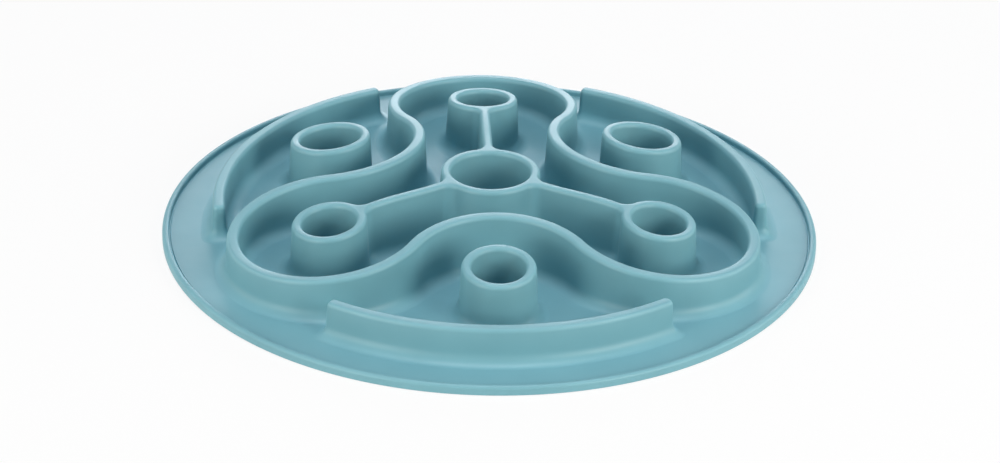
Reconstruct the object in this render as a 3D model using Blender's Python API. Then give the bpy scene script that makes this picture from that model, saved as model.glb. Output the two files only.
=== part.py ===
"""A slow feeder mat: rings, winding walls and guard walls standing on a thin round floor.

Run it with blender --background --python part.py, or from the text editor.
Metres, +Z up. The mat rests on z = 0, and +Y points from its middle to the back lobe.
The real mat is one soft moulding. Each moulded feature is an object of its own here.
"""

import math

import bmesh
import bpy
from mathutils import Vector

MM = 0.001

# Floor and rim
FLOOR_THICKNESS = 2.0 * MM
RIM_WIDTH = 2.8 * MM
RIM_HEIGHT = 4.0 * MM
RIM_ROUND = 1.2 * MM
LOWER_EDGE_CHAMFER = 0.5 * MM
EDGE_MARGIN = 18.4 * MM

# Cross-section of the walls, with widths taken at the top
WALL_WIDTH = 5.2 * MM
RING_WIDTH = 4.2 * MM
SPOKE_WIDTH = 4.2 * MM
TOP_ROUND = 1.4 * MM
SPOKE_FILLET = 4.0 * MM
FOOT_FILLET = 4.0 * MM
DRAFT = math.radians(3)

# The small rings reach up to one shallow sphere, highest over the middle; other tops stay below it by a drop
CROWN_HEIGHT = 30.0 * MM
CROWN_RADIUS = 600.0 * MM
CENTRE_DROP = 1.8 * MM
WINDING_DROP = 1.2 * MM
GUARD_DROP = 1.7 * MM

# Clear widths between the walls, taken at the top
LOBE_RING_BORE = 22.8 * MM
FRONT_RING_BORE = 22.2 * MM
SIDE_RING_BORE = 26.6 * MM
LOBE_CHANNEL = 21.8 * MM
BAY_CHANNEL = 18.9 * MM
CENTRE_CHANNEL = 16.2 * MM
GUARD_CHANNEL = 16.6 * MM
GUARD_END_GAP = 10.3 * MM

# Gaps that keep neighbouring solids apart where the real moulding is continuous
SEAT_GAP = 0.3 * MM
JOINT_GAP = 0.3 * MM

# Lobes and bays take turns round a hexagon, in this order from the back lobe and by way of the left
BACK_DIRECTION = math.radians(90)
HEXAGON_STEP = math.radians(60)
LOBES = ("back", "left", "right")
BAYS = ("left", "front", "right")

# Facets
ROUND_STEPS = 2
FILLET_STEPS = 2
RING_STEPS = 24
LOBE_STEPS = 28
BAY_STEPS = 14
GUARD_STEPS = 12
GUARD_END_STEPS = 4
SPOKE_FILLET_STEPS = 4
RIM_STEPS = 72

# The fillet stops here, before it thins to a feather edge on the floor
FILLET_SWEEP = math.radians(60)
# Most of a low wall's side that its fillet may take
FILLET_SHARE = 0.8
# On a hexagon, the arcs of neighbouring lobes and bays meet in line at these half sweeps
LOBE_HALF_SWEEP = 2 * HEXAGON_STEP
BAY_HALF_SWEEP = HEXAGON_STEP
# Power of the curve round a guard wall's end: 1 is round, smaller is squarer
GUARD_END_POWER = 0.7
# Points closer than this are one point, and edges sharper than this are shaded as edges
MERGE_DISTANCE = 0.0001 * MM
SHARP_ANGLE = math.radians(40)

SILICONE_COLOUR = (0.15, 0.38, 0.44, 1.0)
SILICONE_ROUGHNESS = 0.45

# Sizes that follow from the ones above
SEAT = FLOOR_THICKNESS + SEAT_GAP
LOBE_RING_RADIUS = (LOBE_RING_BORE + RING_WIDTH) / 2
FRONT_RING_RADIUS = (FRONT_RING_BORE + RING_WIDTH) / 2
SIDE_RING_RADIUS = (SIDE_RING_BORE + RING_WIDTH) / 2
BAY_RING_RADII = {"front": FRONT_RING_RADIUS, "left": SIDE_RING_RADIUS, "right": SIDE_RING_RADIUS}
LARGEST_BAY_RING = max(BAY_RING_RADII.values())
# From the crest of a ring to the crest of a wall, without the channel between them
RING_TO_WALL = (RING_WIDTH + WALL_WIDTH) / 2
LOBE_WALL_RADIUS = LOBE_RING_RADIUS + RING_TO_WALL + LOBE_CHANNEL
BAY_WALL_RADIUS = LARGEST_BAY_RING + RING_TO_WALL + BAY_CHANNEL
# Neighbouring lobe and bay centres are as far from each other as from the middle
HEXAGON_RADIUS = LOBE_WALL_RADIUS + BAY_WALL_RADIUS
BAY_CREST_RADIUS = HEXAGON_RADIUS - BAY_WALL_RADIUS
CENTRE_RING_RADIUS = BAY_CREST_RADIUS - RING_TO_WALL - CENTRE_CHANNEL
GUARD_RADIUS = HEXAGON_RADIUS + LARGEST_BAY_RING + RING_TO_WALL + GUARD_CHANNEL
OUTER_RADIUS = max(HEXAGON_RADIUS + LOBE_WALL_RADIUS, GUARD_RADIUS) + WALL_WIDTH / 2 + EDGE_MARGIN


def guard_half_angle():
    """Half the angle a guard wall's crest spans, so that its ends stay clear of the lobe walls."""
    end_to_lobe = LOBE_WALL_RADIUS + WALL_WIDTH + GUARD_END_GAP
    cosine = GUARD_RADIUS**2 + HEXAGON_RADIUS**2 - end_to_lobe**2
    cosine /= 2 * GUARD_RADIUS * HEXAGON_RADIUS
    return HEXAGON_STEP - math.acos(cosine)


def polar(radius, angle, height=0.0):
    """A point at an angle from +X about the mat's axis."""
    return Vector((radius * math.cos(angle), radius * math.sin(angle), height))


def full_turn(count):
    """Evenly spaced angles once round, the first not repeated."""
    return [2 * math.pi * i / count for i in range(count)]


def steps(start, end, count):
    """Evenly spaced values from start to end, both included."""
    return [start + (end - start) * i / count for i in range(count + 1)]


def crown(point, drop=0.0):
    """Height of a wall's top above a point of the floor plane, lowered by a drop."""
    rise = math.sqrt(CROWN_RADIUS**2 - point.x**2 - point.y**2) - CROWN_RADIUS
    return CROWN_HEIGHT - drop + rise


def half_profile(crest, width):
    """Offsets and heights down one side of a wall, from its crest to its seat."""
    half = width / 2
    top_round = min(TOP_ROUND, half)
    flat = half - top_round
    shoulder = crest - top_round
    fillet = min(FOOT_FILLET, FILLET_SHARE * (shoulder - SEAT))
    fillet_top = SEAT + fillet
    face = half + (shoulder - fillet_top) * math.tan(DRAFT)
    top = [
        (flat + top_round * math.sin(a), shoulder + top_round * math.cos(a))
        for a in steps(0, math.pi / 2, ROUND_STEPS)
    ]
    foot = [
        (face + fillet * (1 - math.cos(a)), fillet_top - fillet * math.sin(a))
        for a in steps(0, FILLET_SWEEP, FILLET_STEPS)
    ]
    return top + foot + [(foot[-1][0], SEAT)]


def wall_section(point, across, width, drop=0.0, along=Vector()):
    """A wall's cross-section as two sides, each from crest to seat, on either hand of a crest point.

    across is the sideways direction; along pushes each point onward by its share of the offset.
    """
    profile = half_profile(crown(point, drop), width)

    def side(hand):
        outward = hand * across + along
        return [point + outward * offset + Vector((0, 0, height)) for offset, height in profile]

    return side(1), side(-1)


def add_mesh(name, builder):
    """Turn a bmesh into smooth-shaded mesh data with its faces pointing out."""
    bmesh.ops.remove_doubles(builder, verts=builder.verts, dist=MERGE_DISTANCE)
    bmesh.ops.recalc_face_normals(builder, faces=builder.faces)
    mesh = bpy.data.meshes.new(name)
    builder.to_mesh(mesh)
    builder.free()
    mesh.shade_smooth()
    mesh.set_sharp_from_angle(angle=SHARP_ANGLE)
    return mesh


def skin(builder, outlines, closed):
    """Join a row of closed outlines with faces, and the last outline to the first if closed."""
    followers = outlines[1:] + outlines[:1] if closed else outlines[1:]
    for near, far in zip(outlines, followers):
        for i in range(len(near)):
            builder.faces.new((near[i - 1], near[i], far[i], far[i - 1]))


def swept_mesh(name, sections, closed):
    """One closed body through a row of cross-sections, each a pair of sides from crest to seat."""
    builder = bmesh.new()
    rows = [[[builder.verts.new(p) for p in side] for side in section] for section in sections]
    skin(builder, [left[::-1] + right for left, right in rows], closed)
    if not closed:
        for left, right in (rows[0], rows[-1]):
            for i in range(len(left) - 1):
                builder.faces.new((left[i], left[i + 1], right[i + 1], right[i]))
    return add_mesh(name, builder)


def turned_mesh(name, profile, count):
    """A ring turned about the mat's axis from a closed profile of radius and height pairs."""
    builder = bmesh.new()
    outlines = [[builder.verts.new(polar(r, angle, z)) for r, z in profile] for angle in full_turn(count)]
    skin(builder, outlines, closed=True)
    return add_mesh(name, builder)


def stacked_mesh(name, loops):
    """One closed body through a stack of loops, with a flat face on the first and on the last."""
    builder = bmesh.new()
    outlines = [[builder.verts.new(p) for p in loop] for loop in loops]
    skin(builder, outlines, closed=False)
    builder.faces.new(outlines[0])
    builder.faces.new(outlines[-1])
    return add_mesh(name, builder)


def arc_sections(centre, radius, middle, half_sweep, width, count, drop=0.0):
    """Cross-sections of a wall along an arc, evenly spaced."""
    angles = steps(middle - half_sweep, middle + half_sweep, count)
    return [wall_section(centre + polar(radius, a), polar(1, a), width, drop) for a in angles]


def ring_mesh(name, centre, radius, drop=0.0):
    """A ring-shaped wall."""
    sections = arc_sections(centre, radius, 0, math.pi, RING_WIDTH, RING_STEPS, drop)
    return swept_mesh(name, sections[:-1], closed=True)


def arc_wall_mesh(name, centre, radius, middle, half_sweep, count):
    """A length of the winding wall, cut square just short of both its ends."""
    sweep = half_sweep - JOINT_GAP / 2 / radius
    sections = arc_sections(centre, radius, middle, sweep, WALL_WIDTH, count, WINDING_DROP)
    return swept_mesh(name, sections, closed=False)


def guard_end_sections(end_angle, hand):
    """Cross-sections that close a guard wall's end, from its straight side to the middle of its end."""
    point = polar(GUARD_RADIUS, end_angle)
    across = polar(1, end_angle)
    onward = hand * polar(1, end_angle + math.pi / 2)
    turns = steps(0, math.pi / 2, GUARD_END_STEPS)[1:]
    return [
        wall_section(
            point,
            across * max(math.cos(turn), 0.0) ** GUARD_END_POWER,
            WALL_WIDTH,
            GUARD_DROP,
            onward * math.sin(turn) ** GUARD_END_POWER,
        )
        for turn in turns
    ]


def guard_wall_mesh():
    """A guard wall about +X, with squared-off round ends."""
    half_angle = guard_half_angle()
    run = arc_sections(Vector(), GUARD_RADIUS, 0, half_angle, WALL_WIDTH, GUARD_STEPS, GUARD_DROP)
    first_end = guard_end_sections(-half_angle, -1)
    last_end = guard_end_sections(half_angle, 1)
    return swept_mesh("guard_wall", first_end[::-1] + run + last_end, closed=False)


def spoke_fillet_sections(ring_centre, ring_radius, towards, drop=0.0):
    """Cross-sections of a spoke along +X that spread in a fillet towards a ring's outside.

    towards is 1 where the ring lies onward along +X, and -1 where it lies behind.
    """
    reach = SPOKE_FILLET + SPOKE_WIDTH / 2
    to_centre = ring_radius + RING_WIDTH / 2 + SPOKE_FILLET
    fillet_x = ring_centre - towards * math.sqrt(to_centre**2 - reach**2)
    turns = steps(0, math.acos(reach / to_centre), SPOKE_FILLET_STEPS)

    def side(turn, hand):
        centre = Vector((fillet_x, hand * reach, 0))
        outward = Vector((towards * math.sin(turn), -hand * math.cos(turn), 0))
        crest = crown(centre + outward * reach, drop)
        return [
            centre + outward * max(reach - offset, JOINT_GAP) + Vector((0, 0, height))
            for offset, height in half_profile(crest, SPOKE_WIDTH)
        ]

    return [(side(turn, 1), side(turn, -1)) for turn in turns]


def spoke_mesh():
    """A spoke along +X that runs into the centre ring and a lobe ring, before it is trimmed to them."""
    inner = spoke_fillet_sections(0, CENTRE_RING_RADIUS, -1, CENTRE_DROP)
    outer = spoke_fillet_sections(HEXAGON_RADIUS, LOBE_RING_RADIUS, 1)
    return swept_mesh("spoke", inner[::-1] + outer, closed=False)


def ring_trim_mesh(name, centre, radius, drop=0.0):
    """The outside of a ring-shaped wall, filled and grown by the joint gap, to trim a spoke's end."""
    rows = []
    for angle in full_turn(RING_STEPS):
        outside = half_profile(crown(centre + polar(radius, angle), drop), RING_WIDTH)[ROUND_STEPS:]
        above = (outside[0][0], CROWN_HEIGHT + FLOOR_THICKNESS)
        below = (outside[-1][0], 0.0)
        levels = [above] + outside + [below]
        rows.append([centre + polar(radius + offset + JOINT_GAP, angle, height) for offset, height in levels])
    return stacked_mesh(name, zip(*rows))


def rim_profile():
    """Cross-section of the rim bead, round at its two top edges."""
    outer = OUTER_RADIUS - RIM_ROUND
    inner = OUTER_RADIUS - RIM_WIDTH + RIM_ROUND
    shoulder = RIM_HEIGHT - RIM_ROUND
    quarter = steps(0, math.pi / 2, ROUND_STEPS)
    rise = [(outer + RIM_ROUND * math.cos(a), shoulder + RIM_ROUND * math.sin(a)) for a in quarter]
    fall = [(inner - RIM_ROUND * math.sin(a), shoulder + RIM_ROUND * math.cos(a)) for a in quarter]
    return [(OUTER_RADIUS, SEAT)] + rise + fall + [(OUTER_RADIUS - RIM_WIDTH, SEAT)]


def base_mesh():
    """The thin round floor, with a small chamfer round its lower edge."""
    levels = [
        (OUTER_RADIUS - LOWER_EDGE_CHAMFER, 0.0),
        (OUTER_RADIUS, LOWER_EDGE_CHAMFER),
        (OUTER_RADIUS, FLOOR_THICKNESS),
    ]
    angles = full_turn(RIM_STEPS)
    return stacked_mesh("base_mat", [[polar(r, angle, z) for angle in angles] for r, z in levels])


def silicone():
    """The one soft satin material of the whole moulding."""
    material = bpy.data.materials.new("teal_silicone")
    material.use_nodes = True
    shader = material.node_tree.nodes["Principled BSDF"]
    shader.inputs["Base Color"].default_value = SILICONE_COLOUR
    shader.inputs["Roughness"].default_value = SILICONE_ROUGHNESS
    shader.inputs["Metallic"].default_value = 0.0
    return material


def place(name, mesh, parent, turn=0.0):
    """Add an object, turned about the mat's axis, under a parent."""
    piece = bpy.data.objects.new(name, mesh)
    piece.rotation_euler.z = turn
    piece.parent = parent
    bpy.context.scene.collection.objects.link(piece)
    return piece


def place_trim(name, mesh, parent, turn=0.0):
    """Add a cutter: a guide that isn't a piece of the mat."""
    cutter = place(name, mesh, parent, turn)
    cutter.hide_render = True
    cutter.display_type = "WIRE"
    return cutter


def trim(piece, cutter):
    """Cut a piece back from a neighbour's outside."""
    cut = piece.modifiers.new(cutter.name, "BOOLEAN")
    cut.operation = "DIFFERENCE"
    cut.solver = "EXACT"
    cut.object = cutter


def clear_scene():
    """Remove every object that the file opens with."""
    for item in list(bpy.data.objects):
        bpy.data.objects.remove(item, do_unlink=True)


def build():
    """Model the mat."""
    clear_scene()
    mat = bpy.data.objects.new("mat", None)
    bpy.context.scene.collection.objects.link(mat)
    cell = Vector((HEXAGON_RADIUS, 0, 0))

    pieces = [
        place("base_mat", base_mesh(), mat),
        place("rim_bead", turned_mesh("rim_bead", rim_profile(), RIM_STEPS), mat),
        place("centre_ring", ring_mesh("centre_ring", Vector(), CENTRE_RING_RADIUS, CENTRE_DROP), mat),
    ]

    lobe_ring = ring_mesh("lobe_ring", cell, LOBE_RING_RADIUS)
    lobe_wall = arc_wall_mesh("lobe_wall", cell, LOBE_WALL_RADIUS, 0, LOBE_HALF_SWEEP, LOBE_STEPS)
    spoke = spoke_mesh()
    centre_trim_mesh = ring_trim_mesh("centre_trim", Vector(), CENTRE_RING_RADIUS, CENTRE_DROP)
    lobe_trim_mesh = ring_trim_mesh("lobe_trim", cell, LOBE_RING_RADIUS)
    centre_trim = place_trim("centre_trim", centre_trim_mesh, mat)
    for i, side in enumerate(LOBES):
        turn = BACK_DIRECTION + 2 * i * HEXAGON_STEP
        pieces.append(place("lobe_ring_" + side, lobe_ring, mat, turn))
        pieces.append(place("lobe_wall_" + side, lobe_wall, mat, turn))
        spoke_piece = place("spoke_" + side, spoke, mat, turn)
        trim(spoke_piece, centre_trim)
        trim(spoke_piece, place_trim("lobe_trim_" + side, lobe_trim_mesh, mat, turn))
        pieces.append(spoke_piece)

    bay_wall = arc_wall_mesh("bay_wall", cell, BAY_WALL_RADIUS, math.pi, BAY_HALF_SWEEP, BAY_STEPS)
    guard_wall = guard_wall_mesh()
    for i, side in enumerate(BAYS):
        turn = BACK_DIRECTION + (2 * i + 1) * HEXAGON_STEP
        bay_ring = ring_mesh("bay_ring_" + side, cell, BAY_RING_RADII[side])
        pieces.append(place("bay_ring_" + side, bay_ring, mat, turn))
        pieces.append(place("bay_wall_" + side, bay_wall, mat, turn))
        pieces.append(place("guard_wall_" + side, guard_wall, mat, turn))

    material = silicone()
    for piece in pieces:
        if not piece.data.materials:
            piece.data.materials.append(material)


build()
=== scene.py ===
import math

import bmesh
import bpy
from mathutils import Matrix, Vector


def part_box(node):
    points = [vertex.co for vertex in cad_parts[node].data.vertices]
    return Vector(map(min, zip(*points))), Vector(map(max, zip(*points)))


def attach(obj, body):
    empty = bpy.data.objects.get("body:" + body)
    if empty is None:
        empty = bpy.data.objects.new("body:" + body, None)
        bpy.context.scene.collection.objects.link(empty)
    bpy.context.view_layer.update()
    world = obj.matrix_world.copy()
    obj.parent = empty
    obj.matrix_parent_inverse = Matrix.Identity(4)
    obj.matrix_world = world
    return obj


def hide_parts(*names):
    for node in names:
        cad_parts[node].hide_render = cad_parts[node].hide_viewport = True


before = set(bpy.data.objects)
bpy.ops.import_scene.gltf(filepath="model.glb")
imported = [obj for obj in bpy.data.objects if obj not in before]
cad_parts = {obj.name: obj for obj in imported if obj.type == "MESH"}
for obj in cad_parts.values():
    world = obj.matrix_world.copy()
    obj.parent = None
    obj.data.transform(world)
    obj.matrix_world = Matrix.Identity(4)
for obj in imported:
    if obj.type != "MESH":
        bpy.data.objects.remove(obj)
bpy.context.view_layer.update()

MM = 0.001

# Floor and rim, taken from the frame
OUTER_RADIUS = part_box("base_mat")[1].x
FLOOR_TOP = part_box("base_mat")[1].z
RIM_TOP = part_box("rim_bead")[1].z

# Rim bead
RIM_WIDTH = 2.8 * MM
RIM_OUTER_ROUND = 1.4 * MM
RIM_INNER_ROUND = 1.0 * MM
GROOVE_RADIUS = 0.45 * MM
LOWER_EDGE_ROUND = 0.5 * MM

# Plan of the walls, along their crests
LOBE_WALL_RADIUS = 40.0 * MM
BAY_WALL_RADIUS = 39.0 * MM
CELL_RADIUS = LOBE_WALL_RADIUS + BAY_WALL_RADIUS
CENTRE_RING_RADIUS = 19.1 * MM
LOBE_RING_RADIUS = 13.5 * MM
BAY_RING_RADII = {"left": 15.4 * MM, "front": 13.2 * MM, "right": 15.4 * MM}
GUARD_RADIUS = 115.7 * MM
GUARD_HALF_ANGLE = math.radians(34.85)
SPOKE_FILLET = 6.0 * MM

# Cross-section of the walls: a rounded top, leaning faces and filleted feet sunk into the floor
WALL_HALF_WIDTH = 2.6 * MM
RING_HALF_WIDTH = 2.1 * MM
TOP_ROUND_WIDTH = 1.4 * MM
TOP_ROUND_DEPTH = 2.2 * MM
FOOT_FILLET = 5.0 * MM
DRAFT = math.radians(3)
SUNK_DEPTH = 0.4 * MM

# The small rings reach up to one shallow sphere; other tops stay below it by a drop
CROWN_HEIGHT = 30.0 * MM
CROWN_RADIUS = 600.0 * MM
CENTRE_DROP = 1.8 * MM
WINDING_DROP = 1.2 * MM
GUARD_DROP = 1.7 * MM

# Lobes and bays take turns round a hexagon, in this order from the back lobe and by way of the left
BACK_DIRECTION = math.radians(90)
HEXAGON_STEP = math.radians(60)
LOBES = ("back", "left", "right")
BAYS = ("left", "front", "right")

# Power of the curve round a guard wall's end: 1 is round, smaller is squarer
GUARD_END_POWER = 0.7

# Smoothness of the meshes
TOP_STEPS = 8
FACE_STEPS = 4
FILLET_STEPS = 8
RING_STEPS = 120
LOBE_ARC_STEPS = 120
BAY_ARC_STEPS = 60
GUARD_STEPS = 72
GUARD_END_STEPS = 14
FLOOR_STEPS = 240
PATCH_STEPS = 8
MERGE_DISTANCE = 0.0005 * MM
SHARP_ANGLE = math.radians(40)

# One third of the ring tree is drawn along +X, where its centre ring and lobe ring have these middles
CENTRE_MIDDLE = Vector((0, 0, 0))
LOBE_MIDDLE = Vector((CELL_RADIUS, 0, 0))

# Parts of the tree's outline from a lobe ring's far side to half way between two spokes, with their steps
TREE_STEPS = {"lobe": 56, "lobe_fillet": 12, "spoke": 12, "centre_fillet": 12, "centre": 16}


def polar(radius, angle, height=0.0):
    """A step by a radius in the direction at an angle from +X, and up by a height."""
    return Vector((radius * math.cos(angle), radius * math.sin(angle), height))


def between(start, end, share):
    """A value part of the way from start to end."""
    return start + (end - start) * share


def steps(start, end, count):
    """Evenly spaced values from start to end, both included."""
    return [between(start, end, i / count) for i in range(count + 1)]


def eased(share):
    """A share from 0 to 1 that sets off and arrives gently."""
    return share**2 * (3 - 2 * share)


def crown(point, drop=0.0):
    """Height of a wall's top above a point of the floor plane, lowered by a drop."""
    rise = math.sqrt(CROWN_RADIUS**2 - point.x**2 - point.y**2) - CROWN_RADIUS
    return CROWN_HEIGHT - drop + rise


def half_profile(crest, half_width):
    """Offsets and heights down one side of a wall, from its crest through its foot into the floor."""
    flat = half_width - TOP_ROUND_WIDTH
    shoulder = crest - TOP_ROUND_DEPTH
    # The rounded top ends where it is as steep as the face below it
    top_end = math.atan(TOP_ROUND_DEPTH / TOP_ROUND_WIDTH * math.tan(DRAFT))
    top = [
        (flat + TOP_ROUND_WIDTH * math.cos(a), shoulder + TOP_ROUND_DEPTH * math.sin(a))
        for a in steps(math.pi / 2, top_end, TOP_STEPS)
    ]
    face_start, face_top = top[-1]
    face_bottom = FLOOR_TOP + FOOT_FILLET * (1 - math.sin(DRAFT))
    face_end = face_start + (face_top - face_bottom) * math.tan(DRAFT)
    face = [
        (between(face_start, face_end, share), between(face_top, face_bottom, share))
        for share in steps(0, 1, FACE_STEPS)[1:-1]
    ]
    foot_centre = face_end + FOOT_FILLET * math.cos(DRAFT)
    foot = [
        (foot_centre - FOOT_FILLET * math.cos(a), FLOOR_TOP + FOOT_FILLET * (1 - math.sin(a)))
        for a in steps(DRAFT, math.pi / 2, FILLET_STEPS)
    ]
    return [(0.0, crest)] + top + face + foot + [(foot_centre, FLOOR_TOP - SUNK_DEPTH)]


def wall_section(point, across, half_width, drop=0.0, along=Vector()):
    """A wall's cross-section as two sides, each from crest to foot, on either hand of a crest point.

    across is the sideways direction, turned round for the second side; along is added on both sides.
    """
    profile = half_profile(crown(point, drop), half_width)

    def side(hand):
        outward = hand * across + along
        return [point + outward * offset + Vector((0, 0, height)) for offset, height in profile]

    return side(1), side(-1)


def strip(builder, rows):
    """Join neighbouring rows of points with faces."""
    corners = [[builder.verts.new(p) for p in row] for row in rows]
    for near, far in zip(corners, corners[1:]):
        for i in range(len(near) - 1):
            builder.faces.new((near[i], near[i + 1], far[i + 1], far[i]))


def merge(builder):
    """Join the corners that meet at one place, which closes a surface whose last row is its first."""
    bmesh.ops.remove_doubles(builder, verts=builder.verts, dist=MERGE_DISTANCE)


def add_object(name, data):
    """A new object in the scene."""
    thing = bpy.data.objects.new(name, data)
    bpy.context.scene.collection.objects.link(thing)
    return thing


def add_mesh(name, builder):
    """A new object in the scene, made from a bmesh, which is used up."""
    mesh = bpy.data.meshes.new(name)
    builder.to_mesh(mesh)
    builder.free()
    return add_object(name, mesh)


def add_piece(name, builder, *nodes):
    """Turn a bmesh into a smooth piece of the mat that stands for some of the frame's nodes."""
    merge(builder)
    bmesh.ops.recalc_face_normals(builder, faces=builder.faces)
    piece = add_mesh(name, builder)
    piece.data.shade_smooth()
    piece.data.set_sharp_from_angle(angle=SHARP_ANGLE)
    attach(piece, "root")
    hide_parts(*nodes)
    return piece


def swept(sections):
    """A bmesh through a row of cross-sections, each a pair of sides from crest to foot."""
    builder = bmesh.new()
    strip(builder, [left[::-1] + right + left[-1:] for left, right in sections])
    return builder


def lobe_direction(i):
    """Direction of a lobe from the middle of the mat."""
    return BACK_DIRECTION + 2 * i * HEXAGON_STEP


def bay_direction(i):
    """Direction of a bay from the middle of the mat."""
    return BACK_DIRECTION + (2 * i + 1) * HEXAGON_STEP


def winding_sections(cell_direction, radius, facing, half_turn, count, outward):
    """Cross-sections of the winding wall along its arc about the middle of a lobe or bay.

    The arc reaches half_turn to each side of the facing direction. outward is 1 if the wall's outer side is
    outside the arc and -1 if it is inside.
    """
    centre = polar(CELL_RADIUS, cell_direction)
    return [
        wall_section(centre + polar(radius, a), outward * polar(1, a), WALL_HALF_WIDTH, WINDING_DROP)
        for a in steps(facing - half_turn, facing + half_turn, count)
    ]


def winding_wall():
    """The one wall that winds round the three lobes and in at the three bays."""
    sections = []
    for i in range(len(LOBES)):
        lobe = lobe_direction(i)
        sections += winding_sections(lobe, LOBE_WALL_RADIUS, lobe, 2 * HEXAGON_STEP, LOBE_ARC_STEPS, 1)
        bay = bay_direction(i)
        sections += winding_sections(bay, BAY_WALL_RADIUS, bay + math.pi, -HEXAGON_STEP, BAY_ARC_STEPS, -1)
    nodes = ["lobe_wall_" + side for side in LOBES] + ["bay_wall_" + side for side in BAYS]
    return add_piece("winding_wall", swept(sections), *nodes)


def bay_cup(i):
    """The free-standing ring in a bay."""
    side = BAYS[i]
    centre = polar(CELL_RADIUS, bay_direction(i))
    radius = BAY_RING_RADII[side]
    angles = steps(0, math.tau, RING_STEPS)
    sections = [wall_section(centre + polar(radius, a), polar(1, a), RING_HALF_WIDTH) for a in angles]
    return add_piece("cup_" + side, swept(sections), "bay_ring_" + side)


def guard_end_sections(end_angle, hand):
    """Cross-sections that close a guard wall's end, from its straight side to the middle of its end."""
    point = polar(GUARD_RADIUS, end_angle)
    across = polar(1, end_angle)
    onward = hand * polar(1, end_angle + math.pi / 2)
    return [
        wall_section(
            point,
            across * math.cos(turn) ** GUARD_END_POWER,
            WALL_HALF_WIDTH,
            GUARD_DROP,
            onward * math.sin(turn) ** GUARD_END_POWER,
        )
        for turn in steps(0, math.pi / 2, GUARD_END_STEPS)[1:]
    ]


def guard(i):
    """The curved wall that closes a bay from outside."""
    side = BAYS[i]
    start = bay_direction(i) - GUARD_HALF_ANGLE
    end = bay_direction(i) + GUARD_HALF_ANGLE
    angles = steps(start, end, GUARD_STEPS)
    run = [wall_section(polar(GUARD_RADIUS, a), polar(1, a), WALL_HALF_WIDTH, GUARD_DROP) for a in angles]
    sections = guard_end_sections(start, -1)[::-1] + run + guard_end_sections(end, 1)
    return add_piece("guard_" + side, swept(sections), "guard_wall_" + side)


def fillet_centre(ring_middle, ring_radius, ring_side, offset):
    """Centre of the fillet in plan between a spoke along +X and a ring, at an offset from the crests.

    ring_side is 1 for a ring at the spoke's far end and -1 for one at its near end.
    """
    aside = SPOKE_FILLET + offset
    reach = ring_radius + aside
    return Vector((ring_middle.x - ring_side * math.sqrt(reach**2 - aside**2), aside, 0))


def tree_point(part, share, offset):
    """A point of the tree's outline at an offset from its crest line, in the half sector beside +X."""
    lobe_fillet = fillet_centre(LOBE_MIDDLE, LOBE_RING_RADIUS, 1, offset)
    centre_fillet = fillet_centre(CENTRE_MIDDLE, CENTRE_RING_RADIUS, -1, offset)
    to_spoke = -math.pi / 2
    if part == "lobe":
        end = math.atan2(lobe_fillet.y, lobe_fillet.x - LOBE_MIDDLE.x)
        return LOBE_MIDDLE + polar(LOBE_RING_RADIUS + offset, share * end)
    if part == "lobe_fillet":
        to_lobe = math.atan2(-lobe_fillet.y, LOBE_MIDDLE.x - lobe_fillet.x)
        return lobe_fillet + polar(SPOKE_FILLET, between(to_lobe, to_spoke, share))
    if part == "spoke":
        return Vector((between(lobe_fillet.x, centre_fillet.x, share), offset, 0))
    if part == "centre_fillet":
        to_middle = math.atan2(-centre_fillet.y, -centre_fillet.x)
        return centre_fillet + polar(SPOKE_FILLET, between(to_spoke, to_middle, share))
    start = math.atan2(centre_fillet.y, centre_fillet.x)
    return polar(CENTRE_RING_RADIUS + offset, between(start, HEXAGON_STEP, share))


def tree_drop(part, share):
    """How far the tree's top stays below the crown, easing along a spoke towards the centre ring."""
    if part in ("lobe", "lobe_fillet"):
        return 0.0
    if part == "spoke":
        return CENTRE_DROP * eased(share)
    return CENTRE_DROP


def tree_row(part, share):
    """One side of the tree's wall, from crest to foot, at a place along its outline."""
    profile = half_profile(crown(tree_point(part, share, 0), tree_drop(part, share)), RING_HALF_WIDTH)
    return [tree_point(part, share, offset) + Vector((0, 0, height)) for offset, height in profile]


def mirrored(point):
    """The same point on the other side of the spoke along +X."""
    return Vector((point.x, -point.y, point.z))


def tree_outside():
    """Rows down the outside of a sector of the tree, once round its lobe ring."""
    half = [tree_row(part, share) for part, count in TREE_STEPS.items() for share in steps(0, 1, count)]
    other_half = [[mirrored(p) for p in row] for row in half[::-1]]
    return other_half + half


def crest_points(part):
    """Points of the crest line along a part of the tree's outline, in the half sector beside +X."""
    return [tree_point(part, share, 0) for share in steps(0, 1, TREE_STEPS[part])]


def crest_angles(part, middle):
    """Angles of the crest points along a ring's part of the outline, seen from the ring's middle."""
    return [math.atan2(p.y - middle.y, p.x - middle.x) for p in crest_points(part)]


def bore_rows(middle, radius, drop, angles):
    """Rows down the inside of a ring, from its crest to its foot."""
    rows = []
    for angle in angles:
        profile = half_profile(crown(middle + polar(radius, angle), drop), RING_HALF_WIDTH)
        rows.append([middle + polar(radius - offset, angle, height) for offset, height in profile])
    return rows


def patch_rows(part, joint_arc):
    """Rows of the flat top where a spoke spreads into a ring, from the ring's crest to the spoke."""
    edge = crest_points(part)
    if part == "centre_fillet":
        edge.reverse()
    first = edge[0]
    drop = tree_drop(part, 0)
    rows = []
    for point in edge:
        shrink = point.y / first.y
        row = [Vector((point.x + (p.x - first.x) * shrink, p.y * shrink, 0)) for p in joint_arc]
        rows.append([p + Vector((0, 0, crown(p, drop))) for p in row])
    return rows


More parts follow.
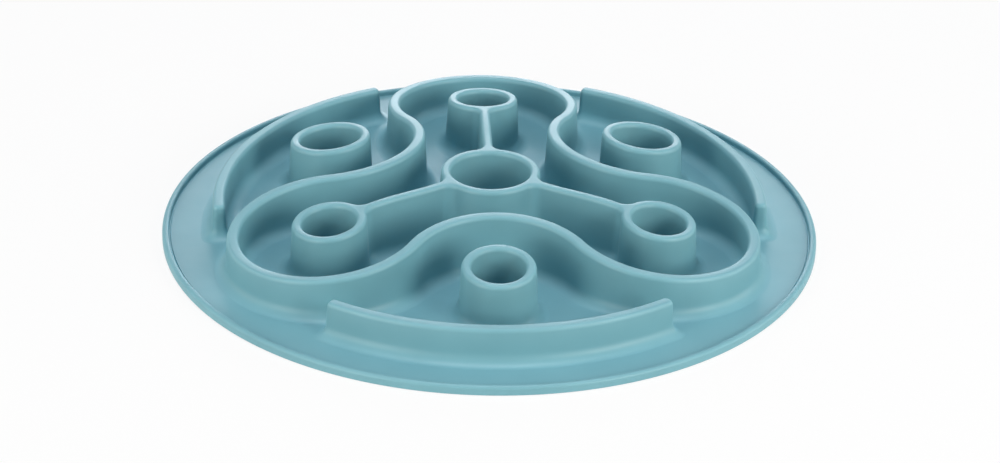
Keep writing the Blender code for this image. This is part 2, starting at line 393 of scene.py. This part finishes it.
def tree_surfaces():
    """The surfaces of the third of the tree about +X, each as rows of points."""
    lobe_half = crest_angles("lobe", LOBE_MIDDLE)
    lobe_joint = steps(lobe_half[-1], math.tau - lobe_half[-1], PATCH_STEPS)
    lobe_arc = [LOBE_MIDDLE + polar(LOBE_RING_RADIUS, a) for a in lobe_joint]
    lobe_angles = lobe_half + lobe_joint + [math.tau - a for a in lobe_half[::-1]]
    centre_half = crest_angles("centre", CENTRE_MIDDLE)
    centre_joint = steps(centre_half[0], -centre_half[0], PATCH_STEPS)
    centre_arc = [CENTRE_MIDDLE + polar(CENTRE_RING_RADIUS, a) for a in centre_joint]
    centre_angles = [-a for a in centre_half[::-1]] + centre_joint[::-1] + centre_half
    return [
        tree_outside(),
        bore_rows(LOBE_MIDDLE, LOBE_RING_RADIUS, 0, lobe_angles),
        bore_rows(CENTRE_MIDDLE, CENTRE_RING_RADIUS, CENTRE_DROP, centre_angles),
        patch_rows("lobe_fillet", lobe_arc),
        patch_rows("centre_fillet", centre_arc),
    ]


def ring_tree():
    """The centre ring, the three spokes and the three lobe rings, which run into each other."""
    builder = bmesh.new()
    for i in range(len(LOBES)):
        turn = Matrix.Rotation(lobe_direction(i), 3, "Z")
        for rows in tree_surfaces():
            strip(builder, [[turn @ p for p in row] for row in rows])
    merge(builder)
    # The surfaces end in the floor, so only the feet are still open
    open_feet = [edge for edge in builder.edges if edge.is_boundary]
    bmesh.ops.triangle_fill(builder, edges=open_feet, use_beauty=True)
    nodes = ["spoke_" + side for side in LOBES] + ["lobe_ring_" + side for side in LOBES]
    return add_piece("ring_tree", builder, "centre_ring", *nodes)


def profile_arc(middle_radius, middle_height, radius, start, end):
    """Points of an arc in the floor's profile, as radius and height pairs."""
    return [
        (middle_radius + radius * math.cos(a), middle_height + radius * math.sin(a))
        for a in steps(start, end, FILLET_STEPS)
    ]


def floor_profile():
    """Radius and height pairs from the middle of the floor's top, over the rim, to the middle below."""
    out = 0.0
    up = math.pi / 2
    inward = math.pi
    rim_inside = OUTER_RADIUS - RIM_WIDTH
    groove = profile_arc(rim_inside - GROOVE_RADIUS, FLOOR_TOP, GROOVE_RADIUS, -inward, out)
    inner_edge = profile_arc(
        rim_inside + RIM_INNER_ROUND, RIM_TOP - RIM_INNER_ROUND, RIM_INNER_ROUND, inward, up
    )
    outer_edge = profile_arc(
        OUTER_RADIUS - RIM_OUTER_ROUND, RIM_TOP - RIM_OUTER_ROUND, RIM_OUTER_ROUND, up, out
    )
    lower_edge = profile_arc(
        OUTER_RADIUS - LOWER_EDGE_ROUND, LOWER_EDGE_ROUND, LOWER_EDGE_ROUND, out, -up
    )
    return [(0.0, FLOOR_TOP)] + groove + inner_edge + outer_edge + lower_edge + [(0.0, 0.0)]


def floor_and_rim():
    """The thin round floor with the raised bead round its edge."""
    builder = bmesh.new()
    profile = floor_profile()
    angles = steps(0, math.tau, FLOOR_STEPS)
    strip(builder, [[polar(r, a, z) for r, z in profile] for a in angles])
    return add_piece("floor_and_rim", builder, "base_mat", "rim_bead")


# Material of the whole moulding
TEAL = (0.155, 0.364, 0.430, 1.0)
TEAL_PALE = (0.172, 0.392, 0.458, 1.0)
CLOUD_SIZE = 28.0 * MM
CLOUD_DETAIL = 3
CLOUD_SPREAD = (0.3, 0.7)
ROUGHNESS_RANGE = (0.42, 0.52)
ROUGHNESS_SIZE = 6.0 * MM
ROUGHNESS_DETAIL = 2
GRAIN_SIZE = 0.35 * MM
GRAIN_DETAIL = 2
GRAIN_HEIGHT = 0.012 * MM


def noise(tree, coordinates, size, detail):
    """A soft pattern whose features are about the given size."""
    node = tree.nodes.new("ShaderNodeTexNoise")
    node.inputs["Scale"].default_value = 1 / size
    node.inputs["Detail"].default_value = detail
    tree.links.new(coordinates, node.inputs["Vector"])
    return node.outputs["Fac"]


def silicone():
    """Soft satin silicone, faintly clouded, with the fine matt grain of its mould."""
    material = bpy.data.materials.new("teal_silicone")
    material.use_nodes = True
    tree = material.node_tree
    shader = tree.nodes["Principled BSDF"]
    place = tree.nodes.new("ShaderNodeTexCoord").outputs["Object"]

    colour = tree.nodes.new("ShaderNodeValToRGB")
    for stop, position, shade in zip(colour.color_ramp.elements, CLOUD_SPREAD, (TEAL, TEAL_PALE)):
        stop.position = position
        stop.color = shade
    tree.links.new(noise(tree, place, CLOUD_SIZE, CLOUD_DETAIL), colour.inputs["Fac"])
    tree.links.new(colour.outputs["Color"], shader.inputs["Base Color"])

    roughness = tree.nodes.new("ShaderNodeMapRange")
    for limit, value in zip(("To Min", "To Max"), ROUGHNESS_RANGE):
        roughness.inputs[limit].default_value = value
    tree.links.new(noise(tree, place, ROUGHNESS_SIZE, ROUGHNESS_DETAIL), roughness.inputs["Value"])
    tree.links.new(roughness.outputs["Result"], shader.inputs["Roughness"])

    bump = tree.nodes.new("ShaderNodeBump")
    bump.inputs["Distance"].default_value = GRAIN_HEIGHT
    tree.links.new(noise(tree, place, GRAIN_SIZE, GRAIN_DETAIL), bump.inputs["Height"])
    tree.links.new(bump.outputs["Normal"], shader.inputs["Normal"])
    return material


# Studio
STAGE_HALF = 4.0
STAGE_DROP = 0.05 * MM
STAGE_COLOUR = (0.9, 0.9, 0.9, 1.0)
STAGE_ROUGHNESS = 0.9
STAGE_WHITE_SHARE = 0.85
WHITE = (1.0, 1.0, 1.0, 1.0)
WORLD_STRENGTH = 0.02
LIGHT_DISTANCE = 1.5
LIGHT_SIZE = 0.6

COOL = (0.91, 0.94, 1.0)
WARM = (1.0, 0.97, 0.90)

# Azimuth from the front and elevation of each soft light, in degrees, its share of full light and its tint
LIGHTS = {
    "top_light": (0, 90, 0.54, COOL),
    "front_right_light": (45, 22, 0.57, WARM),
    "front_left_light": (312, 24, 0.24, WARM),
    "low_front_left_light": (315, 8, 0.26, WARM),
    "right_light": (90, 12, 0.24, WARM),
    "left_light": (270, 12, 0.17, WARM),
    "back_light": (177, 15, 0.31, COOL),
}

# Camera, in the photograph's frame of 1000 by 463 pixels
IMAGE_WIDTH = 1000
IMAGE_HEIGHT = 463
CAMERA_AZIMUTH = math.radians(-3.06)
CAMERA_ELEVATION = math.radians(27.75)
CAMERA_ROLL = math.radians(1.22)
CAMERA_DISTANCE = 1.229
FOCAL_PIXELS = 2854
MIDDLE_PIXEL = (489.4, 227.7)
SENSOR_WIDTH = 36.0


def seen_directly(tree):
    """A socket that is 1 for what the camera sees, straight or in a reflection, and 0 for light."""
    rays = tree.nodes.new("ShaderNodeLightPath")
    seen = rays.outputs["Is Camera Ray"]
    for kind in ("Is Glossy Ray", "Is Transmission Ray"):
        either = tree.nodes.new("ShaderNodeMath")
        either.operation = "MAXIMUM"
        tree.links.new(seen, either.inputs[0])
        tree.links.new(rays.outputs[kind], either.inputs[1])
        seen = either.outputs[0]
    return seen


def blend_shaders(tree, share, first, second, output):
    """Send a blend of two shaders to an output; a share of 1 is all of the second."""
    mix = tree.nodes.new("ShaderNodeMixShader")
    tree.links.new(share, mix.inputs["Fac"])
    tree.links.new(first.outputs[0], mix.inputs[1])
    tree.links.new(second.outputs[0], mix.inputs[2])
    tree.links.new(mix.outputs[0], tree.nodes[output].inputs["Surface"])


def white_floor():
    """A pale floor that keeps a soft shadow and looks white to the camera and in reflections."""
    material = bpy.data.materials.new("white_floor")
    material.use_nodes = True
    tree = material.node_tree
    shader = tree.nodes["Principled BSDF"]
    shader.inputs["Base Color"].default_value = STAGE_COLOUR
    shader.inputs["Roughness"].default_value = STAGE_ROUGHNESS
    glow = tree.nodes.new("ShaderNodeEmission")
    share = tree.nodes.new("ShaderNodeMath")
    share.operation = "MULTIPLY"
    share.inputs[1].default_value = STAGE_WHITE_SHARE
    tree.links.new(seen_directly(tree), share.inputs[0])
    blend_shaders(tree, share.outputs[0], shader, glow, "Material Output")
    return material


def add_stage():
    """The floor that the mat lies on."""
    builder = bmesh.new()
    bmesh.ops.create_grid(builder, x_segments=1, y_segments=1, size=STAGE_HALF)
    stage = add_mesh("stage_floor", builder)
    stage.data.materials.append(white_floor())
    stage.location.z = -STAGE_DROP


def add_world():
    """Even white light from all round, which the camera sees as white."""
    world = bpy.data.worlds.new("studio")
    world.use_nodes = True
    bpy.context.scene.world = world
    tree = world.node_tree
    lit = tree.nodes["Background"]
    lit.inputs["Color"].default_value = WHITE
    lit.inputs["Strength"].default_value = WORLD_STRENGTH
    seen = tree.nodes.new("ShaderNodeBackground")
    seen.inputs["Color"].default_value = WHITE
    blend_shaders(tree, seen_directly(tree), lit, seen, "World Output")


def direction_to(azimuth, elevation):
    """Direction from the middle of the mat, with the azimuth taken from the front to the right."""
    level = math.cos(elevation)
    return Vector((math.sin(azimuth) * level, -math.cos(azimuth) * level, math.sin(elevation)))


def facing_middle(direction):
    """The turn of a light or camera that stands in a direction and faces the middle of the mat."""
    return (-direction).to_track_quat("-Z", "Y")


def add_light(name, azimuth, elevation, share, tint):
    """A square soft light aimed at the middle of the mat; a share of 1 shows a facing colour as written."""
    data = bpy.data.lights.new(name, "AREA")
    data.size = LIGHT_SIZE
    data.energy = share * (math.pi * LIGHT_DISTANCE) ** 2
    data.color = tint
    light = add_object(name, data)
    direction = direction_to(math.radians(azimuth), math.radians(elevation))
    light.location = direction * LIGHT_DISTANCE
    light.rotation_euler = facing_middle(direction).to_euler()


def add_camera():
    """A camera where the photograph was taken from."""
    data = bpy.data.cameras.new("camera")
    data.sensor_width = SENSOR_WIDTH
    data.lens = FOCAL_PIXELS * SENSOR_WIDTH / IMAGE_WIDTH
    data.shift_x = (IMAGE_WIDTH / 2 - MIDDLE_PIXEL[0]) / IMAGE_WIDTH
    data.shift_y = (MIDDLE_PIXEL[1] - IMAGE_HEIGHT / 2) / IMAGE_WIDTH
    camera = add_object("camera", data)
    direction = direction_to(CAMERA_AZIMUTH, CAMERA_ELEVATION)
    rolled = facing_middle(direction).to_matrix() @ Matrix.Rotation(CAMERA_ROLL, 3, "Z")
    camera.matrix_world = Matrix.Translation(direction * CAMERA_DISTANCE) @ rolled.to_4x4()
    bpy.context.scene.camera = camera


def build():
    """Dress the frame and light it."""
    pieces = [floor_and_rim(), winding_wall(), ring_tree()]
    for i in range(len(BAYS)):
        pieces += [bay_cup(i), guard(i)]
    material = silicone()
    for piece in pieces:
        piece.data.materials.append(material)
    add_stage()
    add_world()
    for name, settings in LIGHTS.items():
        add_light(name, *settings)
    add_camera()
    bpy.context.scene.view_settings.view_transform = "Standard"


build()
